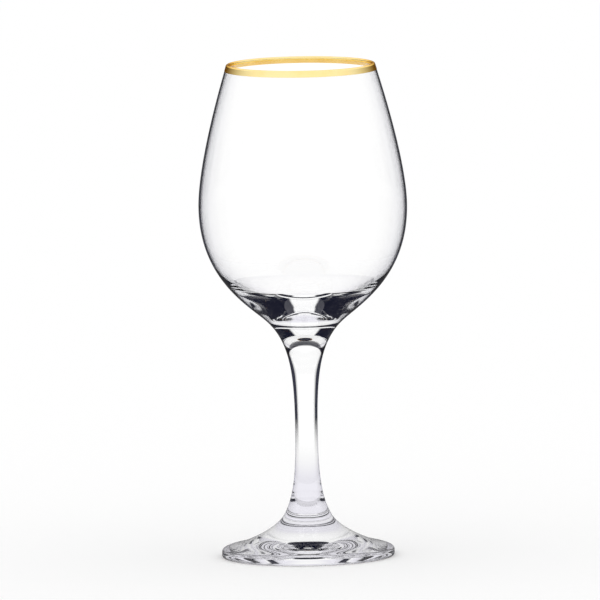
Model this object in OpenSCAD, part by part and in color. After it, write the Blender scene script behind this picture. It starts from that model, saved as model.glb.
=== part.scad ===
// Stemmed wine glass with a gilded lip, in millimetres.
// +Z is up, and the origin is the middle of the foot, level with the ring that it stands on.
// The glass has one axis of revolution, so every piece is a turned outline of [radius, height] points.
// The bowl, the stem and the foot are made apart and are fused at two flat seams.

/* [Overall] */
// Height from the table to the top of the gilding
glass_h = 198; // [190:1:215]

/* [Bowl] */
// Diameter of the lip, along its crest
mouth_d = 58.4; // [50:0.2:66]
// Thickness of the wall at the lip
lip_wall = 1.2; // [0.8:0.1:2]
// Lean of the wall at the lip, in degrees from upright
mouth_lean = 16.8; // [10:0.2:24]
// Length of the straight wall under the lip
lip_straight = 4; // [4:0.5:10]
// Outside diameter at the widest place
belly_d = 83.4; // [76:0.2:92]
// Height of the widest place above the table
belly_z = 140.8; // [134:0.2:148]
// Thickness of the wall at the widest place
belly_wall = 1.3; // [0.8:0.1:2]
// Width of the wall, measured level, where its inside turns into the thick base
shoulder_wall = 2.1; // [1.6:0.1:3]
// Height of that place above the table
shoulder_z = 109.2; // [108:0.2:114]
// Slope of the inside of the wall there, in degrees from level
shoulder_slope = 44; // [38:0.5:56]
// Slope of the bottom of the bowl there, in degrees from level
bottom_slope = 24; // [15:0.5:35]
// Height of the lowest point inside the bowl
well_z = 98.4; // [97:0.1:103]

/* [Stem] */
// Height of the seam between the bowl and the stem
top_seam_z = 95.5; // [90:0.5:96]
// Diameter of that seam
top_seam_d = 32.2; // [28:0.2:36]
// Slope of the outside at that seam, in degrees from level
top_seam_slope = 40.6; // [36:0.2:46]
// Diameter of the stem at its thinnest place
waist_d = 9; // [7:0.1:12]
// Height of the thinnest place
waist_z = 51; // [44:0.5:58]

/* [Foot] */
// Height of the seam between the stem and the foot
foot_seam_z = 16.5; // [14:0.5:20]
// Diameter of that seam
foot_seam_d = 19.2; // [16:0.2:22]
// Slope of the outside at that seam, in degrees from level
foot_seam_slope = 59.8; // [50:0.2:66]
// Diameter of the foot
foot_d = 69; // [62:0.5:78]
// Diameter at which the top of the foot turns over into its round edge
foot_brow_d = 56.8; // [50:0.2:60]
// Height of the top of the foot there
foot_brow_z = 5.1; // [4.5:0.1:7]
// Slope of the top of the foot there, in degrees from level
foot_brow_slope = 13.8; // [8:0.2:18]
// Height of the widest place of the edge
foot_edge_z = 2.3; // [1.6:0.1:3]
// Radius of the round under the edge
foot_edge_r = 0.9; // [0.5:0.1:1.5]
// Width of the flat ring that the foot stands on
ring_w = 3; // [2:0.5:6]
// Height of the hollow under the middle of the foot
hollow_h = 2.2; // [1:0.1:4]

/* [Gilding] */
// Thickness of the gold film
gold_t = 0.1; // [0.1:0.05:0.3]
// Length of the band down the outside of the wall
gold_out_h = 2.2; // [1:0.1:3.5]
// Length of the band down the inside of the wall
gold_in_h = 0.4; // [0.2:0.1:3.5]

/* [Hidden] */
// Faces of a turned surface in the preview
$fn = 96;
// Steps along each free curve and round each quarter of an edge
curve_steps = 20;
edge_steps = 6;
// How far each curve reaches along its end tangents, as shares of the drop or the run that it spans
mouth_pull_share = 0.22;
belly_top_pull_share = 0.29;
belly_low_pull_share = 0.61;
bowl_base_pull_share = 0.22;
inner_low_pull_share = 0.585;
shoulder_pull_share = 0.2;
well_rim_pull_share = 0.8;
well_pull_share = 0.52;
stem_top_pull_share = 0.3;
waist_top_pull_share = 0.5;
waist_low_pull_share = 0.49;
stem_low_pull_share = 0.25;
foot_top_pull_share = 0.34;
foot_brow_pull_share = 0.24;
// The share of a quarter's width and height at which a curve's handles make it nearly round
round_share = 0.55;

// A cubic curve from a to d with handles b and c, without its first point, which the outline already has
function curve(a, b, c, d, steps = curve_steps) =
    [for (i = [1:steps])
        let (t = i / steps, s = 1 - t)
        s * s * s * a + 3 * s * s * t * b + 3 * s * t * t * c + t * t * t * d];

// A step of the given length, at an angle in degrees from level
function along(angle, length) = length * [cos(angle), sin(angle)];

// Points of an arc round a centre, from one angle to another, both ends included
function arc(centre, r, from, to, steps) =
    [for (i = [0:steps]) centre + along(from + (to - from) * i / steps, r)];

function reversed(points) = [for (i = [len(points) - 1:-1:0]) points[i]];

// The lip is the round end of a leaning wall
lip_r = lip_wall / 2;
lip_centre = [mouth_d / 2, glass_h - gold_t - lip_r];
wall_out = mouth_lean;
wall_down = mouth_lean - 90;
function on_outer_wall(drop) = lip_centre + along(wall_out, lip_r) + along(wall_down, drop);
function on_inner_wall(drop) = lip_centre - along(wall_out, lip_r) + along(wall_down, drop);

// Places that two pieces share
belly = [belly_d / 2, belly_z];
top_seam = [top_seam_d / 2, top_seam_z];
waist = [waist_d / 2, waist_z];
foot_seam = [foot_seam_d / 2, foot_seam_z];

// Outside of the bowl, from under the straight wall at the lip down to the seam with the stem
mouth_end = on_outer_wall(lip_straight);
mouth_drop = mouth_end.y - belly.y;
belly_drop = belly.y - top_seam.y;
bowl_outside = concat(
    [mouth_end],
    curve(mouth_end,
          mouth_end + along(wall_down, mouth_pull_share * mouth_drop),
          belly + [0, belly_top_pull_share * mouth_drop],
          belly),
    curve(belly,
          belly - [0, belly_low_pull_share * belly_drop],
          top_seam + along(top_seam_slope, bowl_base_pull_share * belly_drop),
          top_seam));

// Inside of the bowl, from the same height down to the middle of its base
inner_end = on_inner_wall(lip_straight);
inner_belly = belly - [belly_wall, 0];
inner_drop = inner_end.y - inner_belly.y;
outer_r_at_shoulder = lookup(shoulder_z, [for (point = bowl_outside) [point.y, point.x]]);
shoulder = [outer_r_at_shoulder - shoulder_wall, shoulder_z];
shoulder_drop = inner_belly.y - shoulder.y;
well = [0, well_z];
bowl_inside = concat(
    [inner_end],
    curve(inner_end,
          inner_end + along(wall_down, mouth_pull_share * inner_drop),
          inner_belly + [0, belly_top_pull_share * inner_drop],
          inner_belly),
    curve(inner_belly,
          inner_belly - [0, inner_low_pull_share * shoulder_drop],
          shoulder + along(shoulder_slope, shoulder_pull_share * shoulder_drop),
          shoulder),
    curve(shoulder,
          shoulder - along(bottom_slope, well_rim_pull_share * shoulder.x),
          well + [well_pull_share * shoulder.x, 0],
          well));

lip_round = arc(lip_centre, lip_r, wall_out, wall_out + 180, 2 * edge_steps);

module bowl() {
    color("aliceblue")
        rotate_extrude()
            polygon(concat(reversed(bowl_outside), lip_round, bowl_inside, [[0, top_seam.y]]));
}

// Outside of the stem, from the seam with the bowl over the waist to the seam with the foot
stem_top_drop = top_seam.y - waist.y;
stem_low_drop = waist.y - foot_seam.y;
stem_outside = concat(
    [top_seam],
    curve(top_seam,
          top_seam - along(top_seam_slope, stem_top_pull_share * stem_top_drop),
          waist + [0, waist_top_pull_share * stem_top_drop],
          waist),
    curve(waist,
          waist - [0, waist_low_pull_share * stem_low_drop],
          foot_seam + along(180 - foot_seam_slope, stem_low_pull_share * stem_low_drop),
          foot_seam));

module stem() {
    color("aliceblue")
        rotate_extrude()
            polygon(concat(stem_outside, [[0, foot_seam.y], [0, top_seam.y]]));
}

// Outside of the foot, from the seam with the stem over its round edge to the standing ring
foot_brow = [foot_brow_d / 2, foot_brow_z];
foot_edge = [foot_d / 2, foot_edge_z];
foot_run = foot_brow.x - foot_seam.x;
edge_run = foot_edge.x - foot_brow.x;
edge_drop = foot_brow.y - foot_edge.y;
edge_round_centre = [foot_d / 2 - foot_edge_r, foot_edge_r];
foot_outside = concat(
    [foot_seam],
    curve(foot_seam,
          foot_seam + along(-foot_seam_slope, foot_top_pull_share * foot_run),
          foot_brow + along(180 - foot_brow_slope, foot_brow_pull_share * foot_run),
          foot_brow),
    curve(foot_brow,
          foot_brow + round_share * edge_run * [1, -tan(foot_brow_slope)],
          foot_edge + [0, round_share * edge_drop],
          foot_edge,
          2 * edge_steps),
    arc(edge_round_centre, foot_edge_r, 0, -90, edge_steps));

// Underside of the foot: a flat ring to stand on, round a shallow hollow
ring_out_r = foot_d / 2 - foot_edge_r;
ring_in_r = ring_out_r - ring_w;
hollow_rim = [ring_in_r, 0];
hollow_top = [0, hollow_h];
foot_underside = concat(
    [hollow_rim],
    curve(hollow_rim,
          hollow_rim + [-round_share * hollow_rim.x, hollow_h],
          hollow_top + [round_share * hollow_rim.x, 0],
          hollow_top));

module foot() {
    color("aliceblue")
        rotate_extrude()
            polygon(concat(foot_outside, foot_underside, [[0, foot_seam.y]]));
}

// The gilding is a thin film that wraps the lip, seated all over on the glass
gold_skin_r = lip_r + gold_t;
gold_skin = concat(
    [on_outer_wall(gold_out_h) + along(wall_out, gold_t)],
    arc(lip_centre, gold_skin_r, wall_out, wall_out + 180, 2 * edge_steps),
    [on_inner_wall(gold_in_h) - along(wall_out, gold_t)]);
gold_seat = concat(
    [on_inner_wall(gold_in_h)],
    reversed(lip_round),
    [on_outer_wall(gold_out_h)]);

module gold_rim() {
    color("gold")
        rotate_extrude()
            polygon(concat(gold_skin, gold_seat));
}

bowl();
stem();
foot();
gold_rim();
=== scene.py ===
import math

import bpy
import numpy as np
from mathutils import Matrix, Vector


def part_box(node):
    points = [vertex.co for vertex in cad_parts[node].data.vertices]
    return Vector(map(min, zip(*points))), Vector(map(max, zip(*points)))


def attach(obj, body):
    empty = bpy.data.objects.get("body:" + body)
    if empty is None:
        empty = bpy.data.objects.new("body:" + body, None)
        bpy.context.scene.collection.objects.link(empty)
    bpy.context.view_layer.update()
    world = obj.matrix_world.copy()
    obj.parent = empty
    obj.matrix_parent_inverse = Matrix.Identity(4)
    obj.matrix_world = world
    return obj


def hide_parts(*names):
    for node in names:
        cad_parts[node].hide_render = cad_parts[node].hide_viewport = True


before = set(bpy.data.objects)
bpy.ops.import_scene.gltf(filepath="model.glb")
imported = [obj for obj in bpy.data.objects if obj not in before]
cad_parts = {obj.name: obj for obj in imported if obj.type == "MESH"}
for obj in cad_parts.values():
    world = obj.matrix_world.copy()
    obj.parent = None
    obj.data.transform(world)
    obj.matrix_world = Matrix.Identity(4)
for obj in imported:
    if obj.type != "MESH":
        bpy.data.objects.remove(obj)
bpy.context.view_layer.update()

# Everything is in metres. The axis of the glass is Z, and it stands on z = 0.
MM = 0.001
DEGREES = 180 / math.pi

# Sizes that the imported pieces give
_, bowl_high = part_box("bowl")
stem_low, stem_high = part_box("stem")
_, foot_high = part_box("foot")
_, rim_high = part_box("gold_rim")
GLASS_TOP = bowl_high.z
BELLY_R = bowl_high.x
TOP_SEAM_Z = stem_high.z
TOP_SEAM_R = stem_high.x
FOOT_SEAM_Z = stem_low.z
FOOT_R = foot_high.x
GOLD_T = rim_high.z - bowl_high.z

# Sizes of the outline that a box can't give, as on the solids
MOUTH_R = 29.2 * MM
LIP_R = 0.6 * MM
MOUTH_LEAN = 16.8
LIP_STRAIGHT = 4 * MM
BELLY_Z = 140.8 * MM
BELLY_WALL = 1.3 * MM
SHOULDER_R = 28.82 * MM
SHOULDER_Z = 109.2 * MM
SHOULDER_SLOPE = 44
BOTTOM_SLOPE = 24
WELL_Z = 98.4 * MM
TOP_SEAM_SLOPE = 40.6
WAIST_R = 4.5 * MM
WAIST_Z = 51 * MM
FOOT_SEAM_R = 9.6 * MM
FOOT_SEAM_SLOPE = 59.8
BROW_R = 28.4 * MM
BROW_Z = 5.1 * MM
BROW_SLOPE = 13.8
EDGE_Z = 2.3 * MM
EDGE_R = 0.9 * MM
RING_W = 3 * MM
HOLLOW_H = 2.2 * MM
GOLD_OUT_H = 2.2 * MM
GOLD_IN_H = 0.4 * MM

# How far each curve's handles reach, as shares of the drop or the run that it spans
MOUTH_PULL = 0.22
BELLY_TOP_PULL = 0.29
BELLY_LOW_PULL = 0.61
BOWL_BASE_PULL = 0.22
INNER_LOW_PULL = 0.585
SHOULDER_PULL = 0.2
WELL_RIM_PULL = 0.8
WELL_PULL = 0.52
STEM_TOP_PULL = 0.3
WAIST_TOP_PULL = 0.5
WAIST_LOW_PULL = 0.49
STEM_LOW_PULL = 0.25
FOOT_TOP_PULL = 0.34
FOOT_BROW_PULL = 0.24
ROUND_PULL = 0.55

# Fineness of the turned surfaces: faces round the axis, and steps along a free curve and a small round
ROUND_STEPS = 256
CURVE_STEPS = 48
EDGE_STEPS = 12

# A place nearer the axis than this is on it
ON_AXIS = 1e-9

# Material slots of a glass piece, and of the gold band
SKIN, SEAM, INSIDE = 0, 1, 2
OUTER, INNER = 0, 1

# The film of gold stands this far off the glass, so that the two surfaces never share a place
GOLD_GAP = 0.02 * MM


# Outlines

def polar(angle, length):
    """A step of this length in the outline's plane, at an angle in degrees from level."""
    return length * np.array([math.cos(math.radians(angle)), math.sin(math.radians(angle))])


def turned_right(along):
    """The unit vectors a quarter turn to the right of the directions in the rows of along."""
    right = np.stack([along[:, 1], -along[:, 0]], axis=1)
    return right / np.linalg.norm(right, axis=1, keepdims=True)


def curve(a, b, c, d, steps=CURVE_STEPS):
    """A cubic Bezier stretch: s^3 a + 3 s^2 t b + 3 s t^2 c + t^3 d with s = 1 - t, and its outward
    normals, which are a quarter turn to the right of the way it runs."""
    t = np.linspace(0, 1, steps + 1)[:, None]
    s = 1 - t
    places = s**3 * a + 3 * s * s * t * b + 3 * s * t * t * c + t**3 * d
    along = s * s * (b - a) + 2 * s * t * (c - b) + t * t * (d - c)
    return places, turned_right(along)


def straight(a, b):
    """A straight stretch from a to b, with the normal to the right of it at both ends."""
    ends = np.array([a, b])
    return ends, turned_right(np.array([b - a, b - a]))


def arc(centre, r, start, end, steps):
    """A round stretch: centre + r (cos q, sin q), with q going evenly from start to end in degrees.
    Its normals point away from the centre where q grows, and towards it where q falls, as on a hollow
    round."""
    q = np.radians(np.linspace(start, end, steps + 1))
    away = np.stack([np.cos(q), np.sin(q)], axis=1)
    return centre + r * away, away if end > start else -away


# Meshes

def turned(name, stretches, slots):
    """The surface that an outline sweeps round Z: (r cos q, r sin q, z) for each of its points [r, z]
    and each of ROUND_STEPS even angles q. A point on the axis is one vertex, so the poles are closed.
    Each corner of a face gets the true normal of its stretch, so the light bends as through a polished
    surface. slots gives each stretch's material slot."""
    places = [stretches[0][0][:1]]
    starts, ends, slot_of_band = [], [], []
    for (points, normals), slot in zip(stretches, slots):
        places.append(points[1:])
        starts.append(normals[:-1])
        ends.append(normals[1:])
        slot_of_band += [slot] * (len(points) - 1)
    places, starts, ends = np.vstack(places), np.vstack(starts), np.vstack(ends)
    closed = np.allclose(places[0], places[-1])
    if closed:
        places = places[:-1]
    radii, heights = places.T
    q = np.arange(ROUND_STEPS) * 2 * math.pi / ROUND_STEPS
    sizes = np.where(radii < ON_AXIS, 1, ROUND_STEPS)
    firsts = np.concatenate([[0], np.cumsum(sizes)])
    rows = [firsts[i] + (np.arange(ROUND_STEPS) if sizes[i] > 1 else np.zeros(ROUND_STEPS, int))
            for i in range(len(radii))]
    if closed:
        rows.append(rows[0])
    spots = [np.stack([r * np.cos(q), r * np.sin(q), np.full_like(q, z)], axis=1)[:size]
             for r, z, size in zip(radii, heights, sizes)]
    faces, corner_normals, face_slots = [], [], []
    q_next = np.roll(q, -1)

    def facing(normal, angles):
        """An outline's normal, turned round Z to each of the angles."""
        return np.stack([normal[0] * np.cos(angles), normal[0] * np.sin(angles),
                         np.full_like(angles, normal[1])], axis=1)

    for i, (lower, upper) in enumerate(zip(rows[:-1], rows[1:])):
        here = [(lower, q, starts[i]), (np.roll(lower, -1), q_next, starts[i]),
                (np.roll(upper, -1), q_next, ends[i]), (upper, q, ends[i])]
        if lower[0] == lower[1]:
            here.pop(1)
        elif upper[0] == upper[1]:
            here.pop(2)
        faces += np.stack([ring for ring, _, _ in here], axis=1).tolist()
        corner_normals.append(np.stack([facing(n, a) for _, a, n in here], axis=1).reshape(-1, 3))
        face_slots += [slot_of_band[i]] * ROUND_STEPS
    mesh = bpy.data.meshes.new(name)
    mesh.from_pydata(np.vstack(spots).tolist(), [], faces)
    mesh.polygons.foreach_set("material_index", face_slots)
    mesh.polygons.foreach_set("use_smooth", [True] * len(faces))
    mesh.update()
    mesh.normals_split_custom_set(np.vstack(corner_normals).tolist())
    piece = bpy.data.objects.new(name, mesh)
    bpy.context.scene.collection.objects.link(piece)
    return piece


# The outline's shared places, as [radius, height]
lip_centre = np.array([MOUTH_R, GLASS_TOP - LIP_R])
wall_down = MOUTH_LEAN - 90
belly = np.array([BELLY_R, BELLY_Z])
top_seam = np.array([TOP_SEAM_R, TOP_SEAM_Z])
waist = np.array([WAIST_R, WAIST_Z])
foot_seam = np.array([FOOT_SEAM_R, FOOT_SEAM_Z])
UP = np.array([0.0, 1.0])
OUT = np.array([1.0, 0.0])


def on_outer_wall(drop, off=0.0):
    """The place this far down the straight wall under the lip, on its outside or off it."""
    return lip_centre + polar(MOUTH_LEAN, LIP_R + off) + polar(wall_down, drop)


def on_inner_wall(drop, off=0.0):
    """The same on the inside."""
    return lip_centre - polar(MOUTH_LEAN, LIP_R + off) + polar(wall_down, drop)


def make_bowl():
    """The bowl: seam disc, outside up to the lip, round lip, and inside down to the bottom of the well.
    Each wall is two curves that meet upright at the belly."""
    outer_top, inner_top = on_outer_wall(LIP_STRAIGHT), on_inner_wall(LIP_STRAIGHT)
    inner_belly = belly - BELLY_WALL * OUT
    shoulder = np.array([SHOULDER_R, SHOULDER_Z])
    well = np.array([0.0, WELL_Z])
    base_drop = belly[1] - top_seam[1]
    outer_drop, inner_drop = outer_top[1] - belly[1], inner_top[1] - belly[1]
    shoulder_drop = belly[1] - shoulder[1]
    stretches = [
        straight(TOP_SEAM_Z * UP, top_seam),
        curve(top_seam,
              top_seam + polar(TOP_SEAM_SLOPE, BOWL_BASE_PULL * base_drop),
              belly - BELLY_LOW_PULL * base_drop * UP,
              belly),
        curve(belly,
              belly + BELLY_TOP_PULL * outer_drop * UP,
              outer_top + polar(wall_down, MOUTH_PULL * outer_drop),
              outer_top),
        straight(outer_top, on_outer_wall(0)),
        arc(lip_centre, LIP_R, MOUTH_LEAN, MOUTH_LEAN + 180, 2 * EDGE_STEPS),
        straight(on_inner_wall(0), inner_top),
        curve(inner_top,
              inner_top + polar(wall_down, MOUTH_PULL * inner_drop),
              inner_belly + BELLY_TOP_PULL * inner_drop * UP,
              inner_belly),
        curve(inner_belly,
              inner_belly - INNER_LOW_PULL * shoulder_drop * UP,
              shoulder + polar(SHOULDER_SLOPE, SHOULDER_PULL * shoulder_drop),
              shoulder),
        curve(shoulder,
              shoulder - polar(BOTTOM_SLOPE, WELL_RIM_PULL * shoulder[0]),
              well + WELL_PULL * shoulder[0] * OUT,
              well),
    ]
    return turned("bowl_glass", stretches, [SEAM] + 4 * [SKIN] + 4 * [INSIDE])


def make_stem():
    """The stem between its two seam discs: two curves that meet upright at the waist."""
    top_drop, low_drop = top_seam[1] - waist[1], waist[1] - foot_seam[1]
    stretches = [
        straight(FOOT_SEAM_Z * UP, foot_seam),
        curve(foot_seam,
              foot_seam + polar(180 - FOOT_SEAM_SLOPE, STEM_LOW_PULL * low_drop),
              waist - WAIST_LOW_PULL * low_drop * UP,
              waist),
        curve(waist,
              waist + WAIST_TOP_PULL * top_drop * UP,
              top_seam - polar(TOP_SEAM_SLOPE, STEM_TOP_PULL * top_drop),
              top_seam),
        straight(top_seam, TOP_SEAM_Z * UP),
    ]
    return turned("stem_glass", stretches, [SEAM, SKIN, SKIN, SEAM])


def make_foot():
    """The foot: hollow underside, flat standing ring, round edge, and the flare up to the seam disc."""
    brow, edge = np.array([BROW_R, BROW_Z]), np.array([FOOT_R, EDGE_Z])
    run, edge_run, edge_drop = brow[0] - foot_seam[0], edge[0] - brow[0], brow[1] - edge[1]
    round_centre = np.array([FOOT_R - EDGE_R, EDGE_R])
    ring_out, ring_in = round_centre[0] * OUT, (round_centre[0] - RING_W) * OUT
    hollow_top = HOLLOW_H * UP
    stretches = [
        curve(hollow_top,
              hollow_top + ROUND_PULL * ring_in,
              (1 - ROUND_PULL) * ring_in + hollow_top,
              ring_in),
        straight(ring_in, ring_out),
        arc(round_centre, EDGE_R, -90, 0, EDGE_STEPS),
        straight(round_centre + EDGE_R * OUT, edge),
        curve(edge,
              edge + ROUND_PULL * edge_drop * UP,
              brow + ROUND_PULL * edge_run * np.array([1, -math.tan(math.radians(BROW_SLOPE))]),
              brow,
              2 * EDGE_STEPS),
        curve(brow,
              brow + polar(180 - BROW_SLOPE, FOOT_BROW_PULL * run),
              foot_seam + polar(-FOOT_SEAM_SLOPE, FOOT_TOP_PULL * run),
              foot_seam),
        straight(foot_seam, FOOT_SEAM_Z * UP),
    ]
    return turned("foot_glass", stretches, [SKIN] * (len(stretches) - 1) + [SEAM])


def make_gold_band():
    """The gilding: a closed film round the lip, over its crest from one edge outside to one inside."""
    skin, seat = LIP_R + GOLD_T, LIP_R + GOLD_GAP
    stretches = [
        straight(on_outer_wall(GOLD_OUT_H, GOLD_GAP), on_outer_wall(GOLD_OUT_H, GOLD_T)),
        straight(on_outer_wall(GOLD_OUT_H, GOLD_T), on_outer_wall(0, GOLD_T)),
        arc(lip_centre, skin, MOUTH_LEAN, MOUTH_LEAN + 180, 2 * EDGE_STEPS),
        straight(on_inner_wall(0, GOLD_T), on_inner_wall(GOLD_IN_H, GOLD_T)),
        straight(on_inner_wall(GOLD_IN_H, GOLD_T), on_inner_wall(GOLD_IN_H, GOLD_GAP)),
        straight(on_inner_wall(GOLD_IN_H, GOLD_GAP), on_inner_wall(0, GOLD_GAP)),
        arc(lip_centre, seat, MOUTH_LEAN + 180, MOUTH_LEAN, 2 * EDGE_STEPS),
        straight(on_outer_wall(0, GOLD_GAP), on_outer_wall(GOLD_OUT_H, GOLD_GAP)),
    ]
    return turned("gold_band", stretches, 3 * [OUTER] + 5 * [INNER])


# Shader trees

class Wire:
    """One socket of a shader tree. Sums, differences and products with numbers or other wires add Math
    nodes."""

    def __init__(self, tree, socket=None):
        self.tree = tree
        self.socket = socket

    def add(self, kind, settings=None, values=None, output=0):
        """Adds a node, sets its settings, gives its sockets values or wires, and returns one output."""
        node = self.tree.nodes.new(kind)
        for name, value in (settings or {}).items():
            setattr(node, name, value)
        for key, value in (values or {}).items():
            if isinstance(value, Wire):
                self.tree.links.new(value.socket, node.inputs[key])
            else:
                node.inputs[key].default_value = value
        return None if output is None else Wire(self.tree, node.outputs[output])

    def math(self, operation, *others):
        """A Math node that takes this first and then the others."""
        return self.add("ShaderNodeMath", {"operation": operation}, dict(enumerate((self,) + others)))

    def __add__(self, other):
        return self.math("ADD", other)

    def __sub__(self, other):
        return self.math("SUBTRACT", other)

    def __rsub__(self, other):
        return (self * -1).math("ADD", other)

    def __mul__(self, other):
        return self.math("MULTIPLY", other)

    def or_else(self, other):
        """The larger of two shares."""
        return self.math("MAXIMUM", other)

    def exactly(self, count):
        """1 where this whole number is count."""
        return self.math("COMPARE", count, 0.5)

    def at_least(self, count):
        """1 where this whole number is count or more."""
        return self.math("GREATER_THAN", count - 0.5)

    def at_most(self, count):
        """1 where this whole number is count or less."""
        return self.math("LESS_THAN", count + 0.5)

    def smooth(self, low, high):
        """0 below low, 1 above high, and a soft step between."""
        soft = {"interpolation_type": "SMOOTHSTEP"}
        return self.add("ShaderNodeMapRange", soft, {0: self, 1: low, 2: high})

    def within(self, bottom, top):
        """1 between two soft steps, the first up and the second down."""
        return self.smooth(*bottom) * (1 - self.smooth(*top))

    def ramp(self, low, high, at_low, at_high):
        """A straight ramp from at_low to at_high, level outside."""
        return self.add("ShaderNodeMapRange", None, {0: self, 1: low, 2: high, 3: at_low, 4: at_high})

    def parts(self):
        """The three numbers of a vector."""
        node = self.add("ShaderNodeSeparateXYZ", None, {0: self}).socket.node
        return [Wire(self.tree, socket) for socket in node.outputs]

    def between(self, first, second):
        """The colour that mixes first and second by this share."""
        return self.add("ShaderNodeMix", {"data_type": "RGBA"}, {0: self, 6: first, 7: second}, 2)

    def choose(self, first, second):
        """The shader that mixes first and second by this share."""
        return self.add("ShaderNodeMixShader", None, {0: self, 1: first, 2: second})


def blank(owner, output_kind):
    """An empty tree on a material or a world, and a function that shows a shader on its output."""
    owner.use_nodes = True
    tree = owner.node_tree
    tree.nodes.clear()
    start = Wire(tree)

    def show(shader):
        start.add(output_kind, None, {"Surface": shader}, None)

    return start, show


def light_path(start, name):
    """What the light on its way to the eye has been through, by the name of a Light Path output."""
    return start.add("ShaderNodeLightPath", None, None, name)


# Colours

WHITE = (1.0, 1.0, 1.0, 1.0)
DARK = (0.003, 0.004, 0.015, 1.0)
HAZE = (0.84, 0.83, 0.89, 1.0)
WARM_NEAR = (0.78, 0.55, 0.12, 1.0)
WARM_DARK = (0.09, 0.055, 0.006, 1.0)
# Painted shade on the glass: a pale tint a little inside its outlines, and near black at them
PAINTED_SHADE_TINT = (0.74, 0.74, 0.81, 1.0)
PAINTED_OUTLINE_TINT = (0.001, 0.0012, 0.003, 1.0)
# The gilding's edge tone, and its tones where the film is thin and where it is thick: outside, and in a
# darker, deeper copy on the faces inside the lip and against the glass, which is painted shade
GOLD_GLANCING = (1.0, 0.62, 0.2, 1.0)
OUTER_GOLD = ((1.0, 0.83, 0.41, 1.0), (1.0, 0.79, 0.34, 1.0))
SHADED_INNER_GOLD = ((0.95, 0.65, 0.16, 1.0), (0.9, 0.56, 0.1, 1.0))


# Materials

GLASS_IOR = 1.52
# How far the surface turns away, from 0 to 1, where the painted outline shade begins and where it is full
STEM_PAINTED_OUTLINE = (0.22, 0.38)
BOWL_PAINTED_OUTLINE = (0.71, 0.81)
STEM_TO_BOWL = (72 * MM, 92 * MM)
# The painted outline shade's strength on the foot, and the heights between which it grows to its full
# strength
FOOT_STRENGTH = 0.15
FOOT_TO_STEM = (40 * MM, 56 * MM)
# The same for a paler painted shade over a wider part of the surface, which the foot doesn't have
PAINTED_SHADE_FACING = (0.4, 0.8)
PAINTED_SHADE_FROM = (15 * MM, 30 * MM)
# Noise per metre, with the faint draw lines long in height and the burnisher's marks long round the lip
DRAW_LINES = (150.0, 150.0, 12.0)
DRAW_DEPTH = 0.02 * MM
DRAW_STRENGTH = 0.1
GOLD_CLOUDS = 90.0
CLOUD_SPAN = (0.35, 0.65)
GOLD_MARKS = (120.0, 120.0, 3500.0)
MARK_SPAN = (0.3, 0.7)
MARK_DEPTH = 0.05 * MM
MARK_STRENGTH = 0.05
GOLD_ROUGHNESS = (0.15, 0.22)


def glass_material(name, painted_outlines):
    """Clear polished glass with faint draw lines down its sides, which lets light through in shadows.
    With painted_outlines 1 its colour is darkened where the surface turns away: painted shade in place of
    the dark outlines of a real glass, broad on the solid stem, thin on the bowl and faint on the foot,
    with a paler painted shade a little inside them above the foot. With 0 it has none, and that is for
    the inside of the bowl, so that its wall isn't darkened twice."""
    material = bpy.data.materials.new(name)
    start, show = blank(material, "ShaderNodeOutputMaterial")
    place = start.add("ShaderNodeTexCoord", None, None, "Object")
    height = place.parts()[2]
    on_bowl = height.smooth(*STEM_TO_BOWL)
    first = on_bowl.ramp(0.0, 1.0, STEM_PAINTED_OUTLINE[0], BOWL_PAINTED_OUTLINE[0])
    full = on_bowl.ramp(0.0, 1.0, STEM_PAINTED_OUTLINE[1], BOWL_PAINTED_OUTLINE[1])
    strength = height.smooth(*FOOT_TO_STEM).ramp(0.0, 1.0, FOOT_STRENGTH, 1.0) * painted_outlines
    turned_away = start.add("ShaderNodeLayerWeight", None, {"Blend": 0.5}, "Facing")
    # Painted shade: the glass's colour darkens as its surface turns away, pale a little inside the
    # outline and near black at it, in place of the dark surroundings a real glass shows at its edges
    painted_shade = turned_away.ramp(*PAINTED_SHADE_FACING, 0.0, 1.0) * height.smooth(*PAINTED_SHADE_FROM) * painted_outlines
    outline = turned_away.ramp(first, full, 0.0, 1.0) * strength
    drawn = start.add("ShaderNodeMapping", None, {0: place, "Scale": DRAW_LINES})
    lines = start.add("ShaderNodeTexNoise", None, {"Vector": drawn, "Scale": 1.0, "Detail": 2.0})
    relief = {"Strength": DRAW_STRENGTH, "Distance": DRAW_DEPTH, "Height": lines}
    body = start.add("ShaderNodeBsdfPrincipled", None, {
        "Base Color": outline.between(painted_shade.between(WHITE, PAINTED_SHADE_TINT), PAINTED_OUTLINE_TINT),
        "Roughness": 0.0,
        "IOR": GLASS_IOR,
        "Transmission Weight": 1.0,
        "Normal": start.add("ShaderNodeBump", None, relief),
    })
    through = start.add("ShaderNodeBsdfTransparent")
    show(light_path(start, "Is Shadow Ray").choose(body, through))
    return material


def seam_material():
    """The flat face where two fused pieces of glass are one: nothing shows there."""
    material = bpy.data.materials.new("fused_seam")
    start, show = blank(material, "ShaderNodeOutputMaterial")
    show(start.add("ShaderNodeBsdfTransparent"))
    return material


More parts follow.
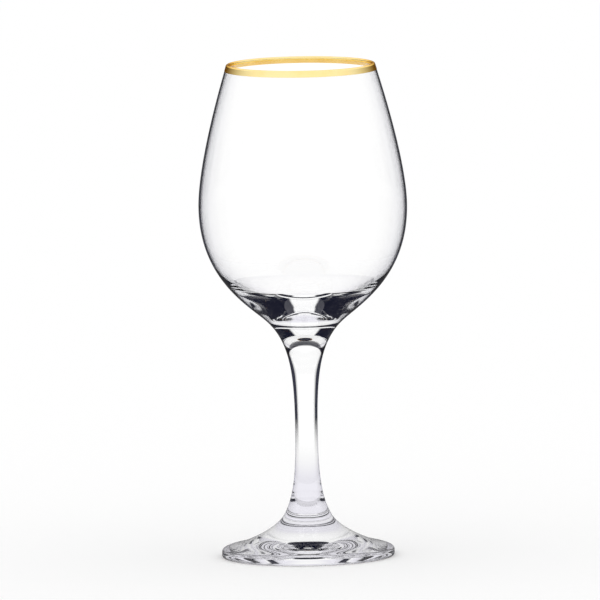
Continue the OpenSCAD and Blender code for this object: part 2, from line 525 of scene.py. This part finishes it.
def gold_material(name, thin, thick):
    """Burnished gilding, with fine marks from the burnisher along the lip. Its film is slightly uneven,
    and the tone goes in soft clouds from thick to thin."""
    material = bpy.data.materials.new(name)
    start, show = blank(material, "ShaderNodeOutputMaterial")
    place = start.add("ShaderNodeTexCoord", None, None, "Object")
    cloud = start.add("ShaderNodeTexNoise", None, {"Vector": place, "Scale": GOLD_CLOUDS, "Detail": 3.0})
    stretched = start.add("ShaderNodeMapping", None, {0: place, "Scale": GOLD_MARKS})
    marks = start.add("ShaderNodeTexNoise", None, {"Vector": stretched, "Scale": 1.0, "Detail": 4.0})
    relief = {"Strength": MARK_STRENGTH, "Distance": MARK_DEPTH, "Height": marks}
    show(start.add("ShaderNodeBsdfPrincipled", None, {
        "Base Color": cloud.smooth(*CLOUD_SPAN).between(thick, thin),
        "Metallic": 1.0,
        "Roughness": marks.ramp(*MARK_SPAN, *GOLD_ROUGHNESS),
        "Specular Tint": GOLD_GLANCING,
        "Normal": start.add("ShaderNodeBump", None, relief),
    }))
    return material


# Light and table

# Strength of the light that shows through the glass, and of what the gilding and the glass's skin reflect
THROUGH = 1.06
OVER_GOLD = 1.1
ROOM_SHINE = 0.1
TABLE_SHINE = 0.1

# Light crosses the surface twice where it goes through a solid piece, and four times through the bowl
SOLID_CROSSINGS = 2
BOWL_CROSSINGS = 4

# Where things in the room begin and end. Each pair is a soft step. Heights are in degrees above level.
BELT_BOTTOM = (-13.0, -11.0)
BELT_TOP = (24.0, 26.0)
CARD_BOTTOM = (-31.0, -28.0)
CARD_TOP = (-13.0, -10.0)
RING_BOTTOM = (-12.0, -9.0)
RING_TOP = (-2.0, 2.0)
CEILING = (22.0, 28.0)
BOUNCED_TOP = (28.0, 32.0)
GOLD_SKY = (0.0, 24.0)
# Degrees off the nearest main direction: a corner card's side, and a panel's half width, which grows
# between two heights
CARD_SIDE = (39.0, 41.0)
PANEL_GROWS = (-6.0, 0.0)
PANEL_HALF = (12.0, 15.0)
PANEL_SOFT = 2.0

# The table, in metres from the glass: where its near part ends, where its far part begins, where its
# pale tone turns white, and where what the gilding sees of it gets dark
TABLE_SIZE = 20.0
NEAR_ENDS = (0.27, 0.33)
FAR_BEGINS = (0.84, 0.9)
PALE_ENDS = (0.08, 0.28)
WARM_ENDS = (0.3, 1.6)
# On the far part, light that has bounced in the glass this often sees the dark
MANY_BOUNCES = 3

# The low screen, and the shares of its height between which it turns from pale to white and fades away
SCREEN_R = 100 * MM
SCREEN_H = 36 * MM
SCREEN_STEPS = 96
SCREEN_PALE = (0.1, 0.75)
SCREEN_FADE = (0.6, 1.0)


def off_axis(x, y):
    """The angle round the glass from the nearest of the four main directions, in degrees, 0 to 45."""
    x, y = x.math("ABSOLUTE"), y.math("ABSOLUTE")
    return x.math("MINIMUM", y).math("ARCTAN2", x.math("MAXIMUM", y)) * DEGREES


def way_through(start):
    """How often the light has crossed the glass's surface, and how often it has bounced off it."""
    return light_path(start, "Transmission Depth"), light_path(start, "Glossy Depth")


def second_image(start, height):
    """1 for what shows after one bounce, whatever its height in the thin wall of the bowl, and only from
    below a height in a solid piece."""
    crossings, bounces = way_through(start)
    low = 1 - height.smooth(*BOUNCED_TOP)
    return bounces.exactly(1) * crossings.at_least(BOWL_CROSSINGS).or_else(low)


def straight_through(start):
    """1 for what shows through a solid piece without a bounce inside it."""
    crossings, bounces = way_through(start)
    return crossings.at_most(SOLID_CROSSINGS) * bounces.exactly(0)


def folded_twice(start):
    """1 for what shows after two bounces inside a solid piece."""
    crossings, bounces = way_through(start)
    return crossings.at_most(SOLID_CROSSINGS) * bounces.exactly(2)


def make_world():
    """A white room. Through the glass it shows four white panels between dark ones, low white cards at
    the corners and a dark ceiling. Light that comes straight through a solid piece meets a white belt
    all round, light that has bounced in one twice meets a dark ring low on the panels, and most light
    that has bounced once meets white. The skin of the glass reflects little. Gilding sees a bright
    ceiling and a dark horizon."""
    world = bpy.data.worlds.new("studio")
    bpy.context.scene.world = world
    world.cycles.sampling_method = "NONE"
    start, show = blank(world, "ShaderNodeOutputWorld")
    x, y, z = start.add("ShaderNodeTexCoord", None, None, "Generated").parts()
    height = z.math("ARCSINE") * DEGREES
    turned_off = off_axis(x, y)
    half = height.ramp(*PANEL_GROWS, *PANEL_HALF)
    panel = 1 - turned_off.smooth(half - PANEL_SOFT, half + PANEL_SOFT)
    card = turned_off.smooth(*CARD_SIDE) * height.within(CARD_BOTTOM, CARD_TOP)
    under_ceiling = 1 - height.smooth(*CEILING)
    ring = height.within(RING_BOTTOM, RING_TOP) * folded_twice(start)
    belt = height.within(BELT_BOTTOM, BELT_TOP) * straight_through(start)
    share = panel.or_else(card) * under_ceiling * (1 - ring)
    share = share.or_else(belt).or_else(second_image(start, height))
    room = start.add("ShaderNodeBackground", None, {0: share.between(DARK, WHITE), 1: THROUGH})
    white = start.add("ShaderNodeBackground", None, {0: WHITE})
    sheen = start.add("ShaderNodeBackground", None, {0: WHITE, 1: ROOM_SHINE})
    sky = height.smooth(*GOLD_SKY).between(WARM_DARK, WHITE)
    over_gold = start.add("ShaderNodeBackground", None, {0: sky, 1: OVER_GOLD})
    reflected = light_path(start, "Is Singular Ray").choose(over_gold, sheen)
    seen = light_path(start, "Is Reflection Ray").choose(room, reflected)
    plain = light_path(start, "Is Camera Ray").or_else(light_path(start, "Is Diffuse Ray"))
    show(plain.choose(seen, white))


def make_table():
    """A white table that keeps the glass's soft shadow. Through the glass it is pale by the foot and
    white farther off, then open for a stretch, where the room shows, and white again beyond that, but
    dark there for light that has bounced many times. The skin of the glass reflects it faintly, and
    gilding sees it warm."""
    half = TABLE_SIZE / 2
    corners = [(-half, -half, 0), (half, -half, 0), (half, half, 0), (-half, half, 0)]
    mesh = bpy.data.meshes.new("table")
    mesh.from_pydata(corners, [], [(0, 1, 2, 3)])
    table = bpy.data.objects.new("table", mesh)
    bpy.context.scene.collection.objects.link(table)
    material = bpy.data.materials.new("white_table")
    start, show = blank(material, "ShaderNodeOutputMaterial")
    x, y = start.add("ShaderNodeTexCoord", None, None, "Object").parts()[:2]
    reach = (x * x + y * y).math("SQRT")
    near = 1 - reach.smooth(*NEAR_ENDS)
    far = reach.smooth(*FAR_BEGINS)
    pale = reach.smooth(*PALE_ENDS).between(HAZE, WHITE)
    folded = far * light_path(start, "Glossy Depth").at_least(MANY_BOUNCES)
    shine = start.add("ShaderNodeEmission", None, {0: folded.between(pale, DARK), 1: THROUGH})
    clear = start.add("ShaderNodeBsdfTransparent")
    through_glass = near.or_else(far).choose(clear, shine)
    top = start.add("ShaderNodeBsdfDiffuse", None, {0: WHITE})
    sheen = start.add("ShaderNodeEmission", None, {0: HAZE, 1: TABLE_SHINE})
    warm = reach.smooth(*WARM_ENDS).between(WARM_NEAR, WARM_DARK)
    under_gold = start.add("ShaderNodeEmission", None, {0: warm})
    reflected = light_path(start, "Is Reflection Ray")
    sharp = light_path(start, "Is Singular Ray")
    bare = (reflected * sharp).choose(top, sheen)
    open_air = (reflected * (1 - sharp)).choose(bare, under_gold)
    show(light_path(start, "Is Transmission Ray").choose(open_air, through_glass))
    mesh.materials.append(material)


def make_low_screen():
    """A low pale screen round the foot, which only shows through the glass: SCREEN_STEPS flat faces
    between two rings of points (R cos q, R sin q), one at z = 0 and one at its height."""
    turn = np.linspace(0, 2 * math.pi, SCREEN_STEPS, endpoint=False)
    ring = np.stack([np.cos(turn), np.sin(turn), 0 * turn], axis=1) * SCREEN_R
    points = np.concatenate([ring, ring + [0, 0, SCREEN_H]])
    here = np.arange(SCREEN_STEPS)
    there = (here + 1) % SCREEN_STEPS
    faces = np.stack([here, there, there + SCREEN_STEPS, here + SCREEN_STEPS], axis=1)
    mesh = bpy.data.meshes.new("low_screen")
    mesh.from_pydata(points.tolist(), [], faces.tolist())
    screen = bpy.data.objects.new("low_screen", mesh)
    bpy.context.scene.collection.objects.link(screen)
    material = bpy.data.materials.new("pale_screen")
    start, show = blank(material, "ShaderNodeOutputMaterial")
    up = start.add("ShaderNodeTexCoord", None, None, "Object").parts()[2] * (1 / SCREEN_H)
    tone = up.smooth(*SCREEN_PALE).between(HAZE, WHITE)
    haze = start.add("ShaderNodeEmission", None, {0: tone})
    clear = start.add("ShaderNodeBsdfTransparent")
    share = light_path(start, "Is Transmission Ray") * (1 - up.smooth(*SCREEN_FADE))
    show(share.choose(clear, haze))
    mesh.materials.append(material)


# Camera

LENS = 1200.0
DISTANCE = 7.996
ELEVATION = math.radians(6.37)
ROLL = math.radians(-0.95)
TARGET = Vector((-1.72 * MM, 0.0, 103.0 * MM))
CLIP = (0.1, 100.0)


def make_camera():
    """A long lens, a little above the glass, looking along +Y, and turned so that the glass leans
    slightly left."""
    towards = Vector((0.0, -math.cos(ELEVATION), math.sin(ELEVATION)))
    data = bpy.data.cameras.new("camera")
    data.lens = LENS
    data.clip_start, data.clip_end = CLIP
    camera = bpy.data.objects.new("camera", data)
    bpy.context.scene.collection.objects.link(camera)
    place = Matrix.Translation(TARGET + DISTANCE * towards)
    turn = (-towards).to_track_quat("-Z", "Y").to_matrix().to_4x4()
    camera.matrix_world = place @ turn @ Matrix.Rotation(ROLL, 4, "Z")
    bpy.context.scene.camera = camera


make_camera()
make_world()
make_table()
make_low_screen()

clear_glass = glass_material("clear_glass", 1.0)
inner_glass = glass_material("inner_glass", 0.0)
fused_seam = seam_material()
gilding = gold_material("gilding", *OUTER_GOLD)
# The darker copy of the gilding is painted shade on its inner faces
shaded_inner_gilding = gold_material("shaded_inner_gilding", *SHADED_INNER_GOLD)
for piece, node, slot, finishes in (
    (make_bowl(), "bowl", "clear_glass", (clear_glass, fused_seam, inner_glass)),
    (make_stem(), "stem", "clear_glass", (clear_glass, fused_seam)),
    (make_foot(), "foot", "clear_glass", (clear_glass, fused_seam)),
    (make_gold_band(), "gold_rim", "gilding", (gilding, shaded_inner_gilding)),
):
    for finish in finishes:
        piece.data.materials.append(finish)
    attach(piece, "root")
    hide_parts(node)

# Enough for light that the thick base folds over many times
MAX_BOUNCES = 24

scene = bpy.context.scene
scene.view_settings.view_transform = "Standard"
scene.cycles.use_denoising = True
scene.cycles.max_bounces = MAX_BOUNCES
scene.cycles.transmission_bounces = MAX_BOUNCES
scene.cycles.glossy_bounces = MAX_BOUNCES
scene.cycles.transparent_max_bounces = MAX_BOUNCES
